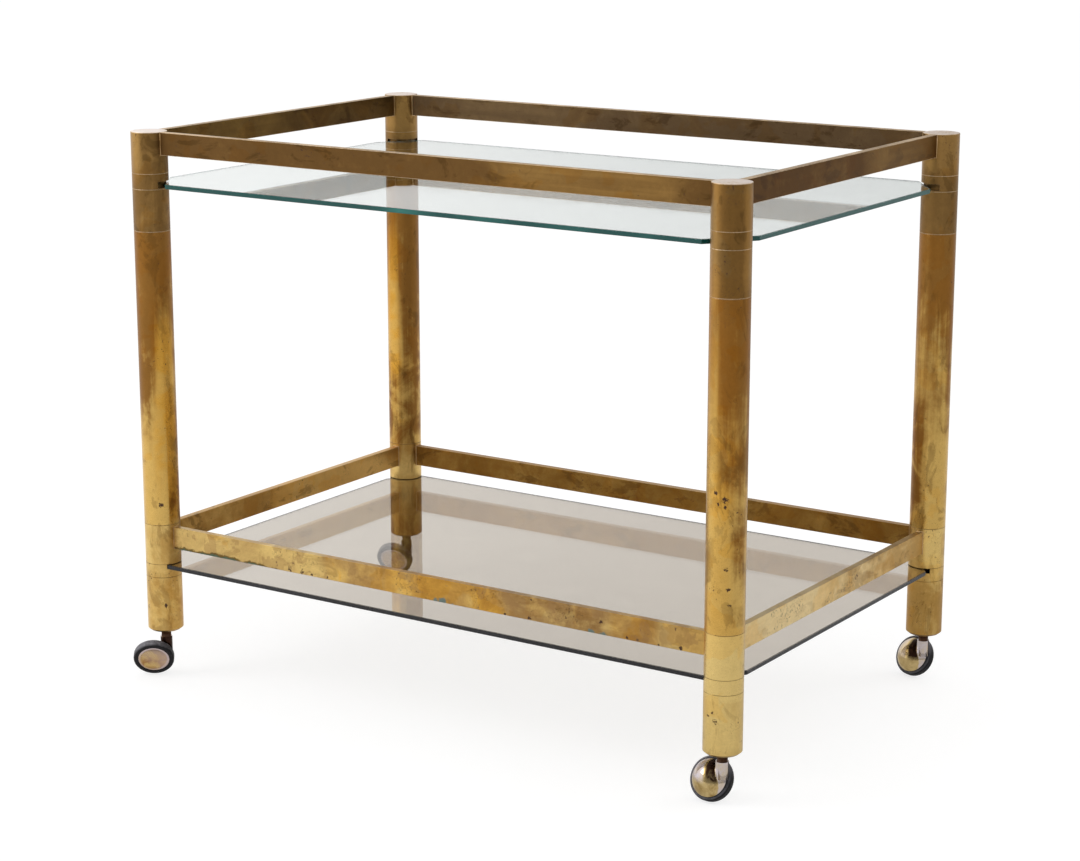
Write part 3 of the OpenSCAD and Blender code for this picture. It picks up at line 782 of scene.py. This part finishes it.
# ------------------------------------------------------------------------------------
# Inner fittings: steel tie rods with their nuts and washers, brass plugs that line the
# seams up, and steel bushes for the casters. All are inside the posts.
# ------------------------------------------------------------------------------------
def turned_metal(name, base, worn, rough):
    """Machined metal: fine turning marks and a mottled, slightly oily surface."""
    material, tree, place = new_material(name)
    # turning marks 0.7 mm apart, drawn coarser than the real 0.1 mm so that they show
    marks = add(tree, "ShaderNodeMapping", {"Vector": place, "Scale": (60.0, 60.0, 1400.0)})
    turning = add(tree, "ShaderNodeTexNoise", {"Vector": marks, "Scale": 1.0, "Detail": 2.0})
    mottle = add(tree, "ShaderNodeTexNoise", {
        "Vector": place, "Scale": 130.0, "Detail": 5.0, "Roughness": 0.6})
    share = add(tree, "ShaderNodeMapRange", {"Value": mottle, "From Min": 0.35, "From Max": 0.7})
    colour = add(tree, "ShaderNodeMix", {0: share, 6: linear(base), 7: linear(worn)},
                 data_type="RGBA")
    gloss = add(tree, "ShaderNodeMapRange", {
        "Value": mottle, "To Min": rough, "To Max": rough + 0.2})
    return surfaced(material, turning, 0.2, 0.0001, {
        "Base Color": colour, "Metallic": 1.0, "Roughness": gloss})


browned_steel = turned_metal("browned_steel", "#4a3428", "#6b5244", 0.35)
# the plugs are a darker brass than the posts; they show only in the notches
plain_brass = turned_metal("dark_plug_brass", "#5a4326", "#7a5c34", 0.35)
for node, material in [("tie_rods", browned_steel), ("tie_washers", browned_steel),
                       ("tie_nuts", browned_steel), ("caster_bushes", browned_steel),
                       ("locating_plugs", plain_brass)]:
    for holder in NODES[node].material_slots:
        holder.link = "OBJECT"
        holder.material = material


# ------------------------------------------------------------------------------------
# Casters: a browned steel neck, a pressed brass hood like a shallow cap with an upright
# socket for the neck, a dished brass wheel disc and a dark rubber tyre. The hoods are
# bright brass with painted light: painted shade and a painted dark reflection round the
# socket, and a painted pale reflection above; the necks look brown against them. The
# tyres are painted grey where they face the light.
# ------------------------------------------------------------------------------------
def worn_plating(name, bright, dull, rim, rough, pits):
    """Bright brass with a brownish film in patches; the mesh marks a pale tint above 0 (a painted
    pale reflection on the hoods, a pale rim on the discs) and painted shade below 0.
    """
    material, tree, place = new_material(name)
    shade = add(tree, "ShaderNodeAttribute", attribute_name="shade").outputs["Fac"]
    # film 10 mm across, pits and scuffs about 1 mm across
    film = add(tree, "ShaderNodeTexNoise", {
        "Vector": place, "Scale": 95.0, "Detail": 5.0, "Roughness": 0.6, "Distortion": 0.6})
    speck = add(tree, "ShaderNodeTexNoise", {"Vector": place, "Scale": 560.0, "Detail": 2.0})
    share = add(tree, "ShaderNodeMapRange", {"Value": film, "From Min": 0.42, "From Max": 0.68})
    colour = add(tree, "ShaderNodeMix", {0: share, 6: linear(bright), 7: linear(dull)},
                 data_type="RGBA")
    # the film gives the zones ragged edges
    uneven = add(tree, "ShaderNodeMapRange", {
        "Value": film, "From Min": 0.35, "From Max": 0.65, "To Min": 0.6, "To Max": 1.4})
    shade = add(tree, "ShaderNodeMath", {0: shade, 1: uneven}, operation="MULTIPLY")
    # painted shade and painted dark reflection, where the mesh marks below 0
    painted_shade = add(tree, "ShaderNodeMath", {0: shade, 1: -1.0}, operation="MULTIPLY", use_clamp=True)
    pitted = add(tree, "ShaderNodeMapRange", {
        "Value": speck, "From Min": 0.70, "From Max": 0.77, "To Max": pits})
    for amount, tint in [(shade, rim), (painted_shade, "#33221a"), (pitted, "#4c3620")]:
        colour = add(tree, "ShaderNodeMix", {0: amount, 6: colour, 7: linear(tint)},
                     data_type="RGBA")
    gloss = add(tree, "ShaderNodeMapRange", {
        "Value": film, "From Min": 0.3, "From Max": 0.75, "To Min": rough, "To Max": rough + 0.16})
    gloss = add(tree, "ShaderNodeMath", {0: painted_shade, 1: 0.25, 2: gloss}, operation="MULTIPLY_ADD")
    return surfaced(material, speck, 0.05, 0.0001, {
        "Base Color": colour, "Metallic": 1.0, "Roughness": gloss})


def scuffed_rubber(name):
    """Hard rubber: matt and dark, painted lighter grey in scuffs where the mesh marks the tread as
    lit.
    """
    material, tree, place = new_material(name)
    # scuffs 6 mm across over a grain of 1 mm
    scuff = add(tree, "ShaderNodeTexNoise", {
        "Vector": place, "Scale": 160.0, "Detail": 5.0, "Roughness": 0.7, "Distortion": 0.5})
    grain = add(tree, "ShaderNodeTexNoise", {"Vector": place, "Scale": 1000.0, "Detail": 2.0})
    # painted light: the mesh marks where the tread is lit
    tread = add(tree, "ShaderNodeAttribute", attribute_name="shade").outputs["Fac"]
    share = add(tree, "ShaderNodeMapRange", {
        "Value": scuff, "From Min": 0.35, "From Max": 0.65, "To Min": 0.45, "To Max": 1.0})
    share = add(tree, "ShaderNodeMath", {0: share, 1: tread}, operation="MULTIPLY")
    colour = add(tree, "ShaderNodeMix", {0: share, 6: linear("#151315"), 7: linear("#9b999f")},
                 data_type="RGBA")
    gloss = add(tree, "ShaderNodeMapRange", {"Value": grain, "To Min": 0.42, "To Max": 0.7})
    return surfaced(material, grain, 0.25, 0.0001, {
        "Base Color": colour, "Roughness": gloss, "Specular IOR Level": 0.2})


hood_brass = worn_plating("bright_brass_hood", "#cdb47e", "#a0844e", "#d6cdd2", 0.07, 0.5)
disc_brass = worn_plating("worn_brass_disc", "#b49660", "#8d643c", "#b5a5a3", 0.22, 0.6)
tyre_rubber = scuffed_rubber("dark_rubber_tyre")


def middle(node):
    """The middle of a CAD piece."""
    low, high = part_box(node)
    return (Vector(low) + Vector(high)) / 2


# Curved pieces have real edges past this angle, in degrees
CURVED_EDGE = 32


def smooth_copy(node, name, shading):
    """A merged copy of a curved CAD piece, shaded smooth up to its real edges.

    shading gives each corner's mark: above 0 for a painted pale reflection on the hoods, a pale rim
    on the discs and painted light on the tyres, below 0 for painted shade.
    """
    work = cad_mesh(node, flatten=False)
    shade = work.loops.layers.float.new("shade")
    for face in work.faces:
        face.smooth = True
        for loop in face.loops:
            loop[shade] = shading(loop.vert.co, face.normal)
    return new_piece(name, work, CURVED_EDGE)


# Distances from the post's axis: the socket's radius, and where the painted shade round
# the socket starts to fade and where it is gone
SOCKET_R = 0.0072
SHADE_FULL = 0.0150
SHADE_GONE = 0.0200
for corner, post in CORNERS.items():
    hub = middle(f"{corner}_wheel_disc")
    axle = (hub - middle(f"{corner}_caster_hood")).normalized()
    # how strong the painted pale reflection is on the hood's upper part, most on the front right
    # caster
    pale_reflection = 0.7 if corner == "front_right" else 0.35

    def from_axle(at):
        out = at - hub
        return (out - axle * out.dot(axle)).length

    reach = max(from_axle(vert.co) for vert in NODES[f"{corner}_tyre"].data.vertices)

    def hood_shade(at, facing):
        aside = sqrt((at.x - post[0]) ** 2 + (at.y - post[1]) ** 2)
        if aside < SOCKET_R:
            # the socket is painted dark, as shade and a dark reflection, on the wheel's side, and
            # has a painted pale reflection on the other
            return -1.6 if facing.dot(axle) > -0.15 else 0.7
        # on the dome: painted shade and a dark reflection near the socket, and a painted pale
        # reflection on its upper part away from it
        near = ramp(aside, SHADE_GONE, SHADE_FULL)
        above = ramp(at.z, hub.z - 0.001, hub.z + 0.005)
        return above * (pale_reflection * (1 - near) - 1.1 * near)

    def disc_shade(at, facing):
        return min(0.9, ramp(from_axle(at) / reach, 0.58, 0.70))

    def tyre_shade(at, facing):
        # painted light: the tread is painted grey where it faces up and to the left, towards the
        # key lamp
        upper = ramp(0.35 + 0.8 * (facing.z * 0.8 - facing.x * 0.6), 0, 1)
        return upper * ramp(from_axle(at) / reach, 0.80, 0.92)

    def no_shade(at, facing):
        return 0.0

    for part, material, body, slot, shading in [
            ("caster_stem", browned_steel, "caster", "dark_steel", no_shade),
            ("caster_hood", hood_brass, "caster", "polished_brass", hood_shade),
            ("wheel_disc", disc_brass, "wheel", "polished_brass", disc_shade),
            ("tyre", tyre_rubber, "wheel", "dark_rubber", tyre_shade)]:
        node = f"{corner}_{part}"
        piece = smooth_copy(node, f"{node}_smooth", shading)
        finish_piece(piece, material, f"{corner}_{body}", slot, node)


# ------------------------------------------------------------------------------------
# Studio: a plain pale floor and plain soft light, brighter from the left. The camera sees
# the floor and the backdrop as white, also through glass, and metal mirrors greys.
# ------------------------------------------------------------------------------------
FLOOR_R = 14
FLOOR_SIDES = 64


def seen_ray(tree):
    """1 for what the camera sees straight or through glass, and 1 for what metal mirrors."""
    path = add(tree, "ShaderNodeLightPath")
    straight = add(tree, "ShaderNodeMath", {
        0: path.outputs["Is Camera Ray"], 1: path.outputs["Is Transmission Ray"]},
        operation="MAXIMUM")
    return straight, path.outputs["Is Glossy Ray"]


work = bmesh.new()
turns = [2 * pi * s / FLOOR_SIDES for s in range(FLOOR_SIDES)]
work.faces.new([work.verts.new((FLOOR_R * cos(turn), FLOOR_R * sin(turn), cad_box[0][2]))
                for turn in turns])
floor = new_piece("floor", work)
floor_white, tree, place = new_material("pale_floor")
straight, mirrored = seen_ray(tree)
direction = add(tree, "ShaderNodeVectorMath", {0: place}, operation="NORMALIZE")
side = add(tree, "ShaderNodeSeparateXYZ", {0: direction}).outputs["X"]
in_metal = add(tree, "ShaderNodeMath", {0: side, 1: -0.18, 2: 0.62}, operation="MULTIPLY_ADD")
glow = add(tree, "ShaderNodeMix", {0: mirrored, 2: 0.0, 3: in_metal}, data_type="FLOAT")
glow = add(tree, "ShaderNodeMix", {0: straight, 2: glow, 3: 0.76}, data_type="FLOAT")
tone = add(tree, "ShaderNodeTexNoise", {"Vector": place, "Scale": 1.2, "Detail": 2.0})
paper = add(tree, "ShaderNodeMapRange", {"Value": tone, "To Min": 0.33, "To Max": 0.36})
matt = add(tree, "ShaderNodeBsdfDiffuse", {"Color": paper})
light = add(tree, "ShaderNodeEmission", {"Color": (1, 1, 1, 1), "Strength": glow})
both = add(tree, "ShaderNodeAddShader", {0: matt, 1: light})
add(tree, "ShaderNodeOutputMaterial", {0: both})
floor.data.materials.append(floor_white)

world = bpy.data.worlds.new("studio")
world.use_nodes = True
bpy.context.scene.world = world
tree = world.node_tree
tree.nodes.clear()
straight, mirrored = seen_ray(tree)
facing = add(tree, "ShaderNodeTexCoord").outputs["Generated"]
# metal mirrors a bright side on the left, a dark side on the right, and a paler ceiling
window = add(tree, "ShaderNodeVectorMath", {0: facing, 1: (-1.0, 0.0, 0.0)},
             operation="DOT_PRODUCT")
window = add(tree, "ShaderNodeMapRange", {
    "Value": window, "From Min": 0.40, "From Max": 0.72, "To Min": 0.42, "To Max": 0.94},
    interpolation_type="SMOOTHSTEP")
shadow = add(tree, "ShaderNodeVectorMath", {0: facing, 1: (0.707, 0.707, 0.0)},
             operation="DOT_PRODUCT")
shadow = add(tree, "ShaderNodeMapRange", {
    "Value": shadow, "From Min": 0.42, "From Max": 0.64, "To Max": -0.16},
    interpolation_type="SMOOTHSTEP")
height = add(tree, "ShaderNodeSeparateXYZ", {0: facing}).outputs["Z"]
overhead = add(tree, "ShaderNodeMapRange", {
    "Value": height, "From Min": 0.08, "From Max": 0.3, "To Max": 0.2})
in_metal = add(tree, "ShaderNodeMath", {0: window, 1: overhead})
in_metal = add(tree, "ShaderNodeMath", {0: in_metal, 1: shadow})
level = add(tree, "ShaderNodeMix", {0: mirrored, 2: 0.75, 3: in_metal}, data_type="FLOAT")
level = add(tree, "ShaderNodeMix", {0: straight, 2: level, 3: 1.0}, data_type="FLOAT")
sky = add(tree, "ShaderNodeBackground", {"Color": (1, 1, 1, 1), "Strength": level})
add(tree, "ShaderNodeOutputWorld", {0: sky})

aim = Vector((0, 0, 0.3))
for name, spot, size, power in [("key_lamp", (-2.0, -1.9, 2.3), 1.5, 22.0),
                                ("back_lamp", (2.1, 1.8, 2.0), 1.2, 8.0)]:
    lamp_data = bpy.data.lights.new(name, "AREA")
    lamp_data.shape = "SQUARE"
    lamp_data.size = size
    lamp_data.energy = power
    lamp = bpy.data.objects.new(name, lamp_data)
    lamp.location = spot
    lamp.rotation_euler = (aim - Vector(spot)).to_track_quat("-Z", "Y").to_euler()
    bpy.context.collection.objects.link(lamp)

bpy.context.scene.view_settings.view_transform = "Standard"
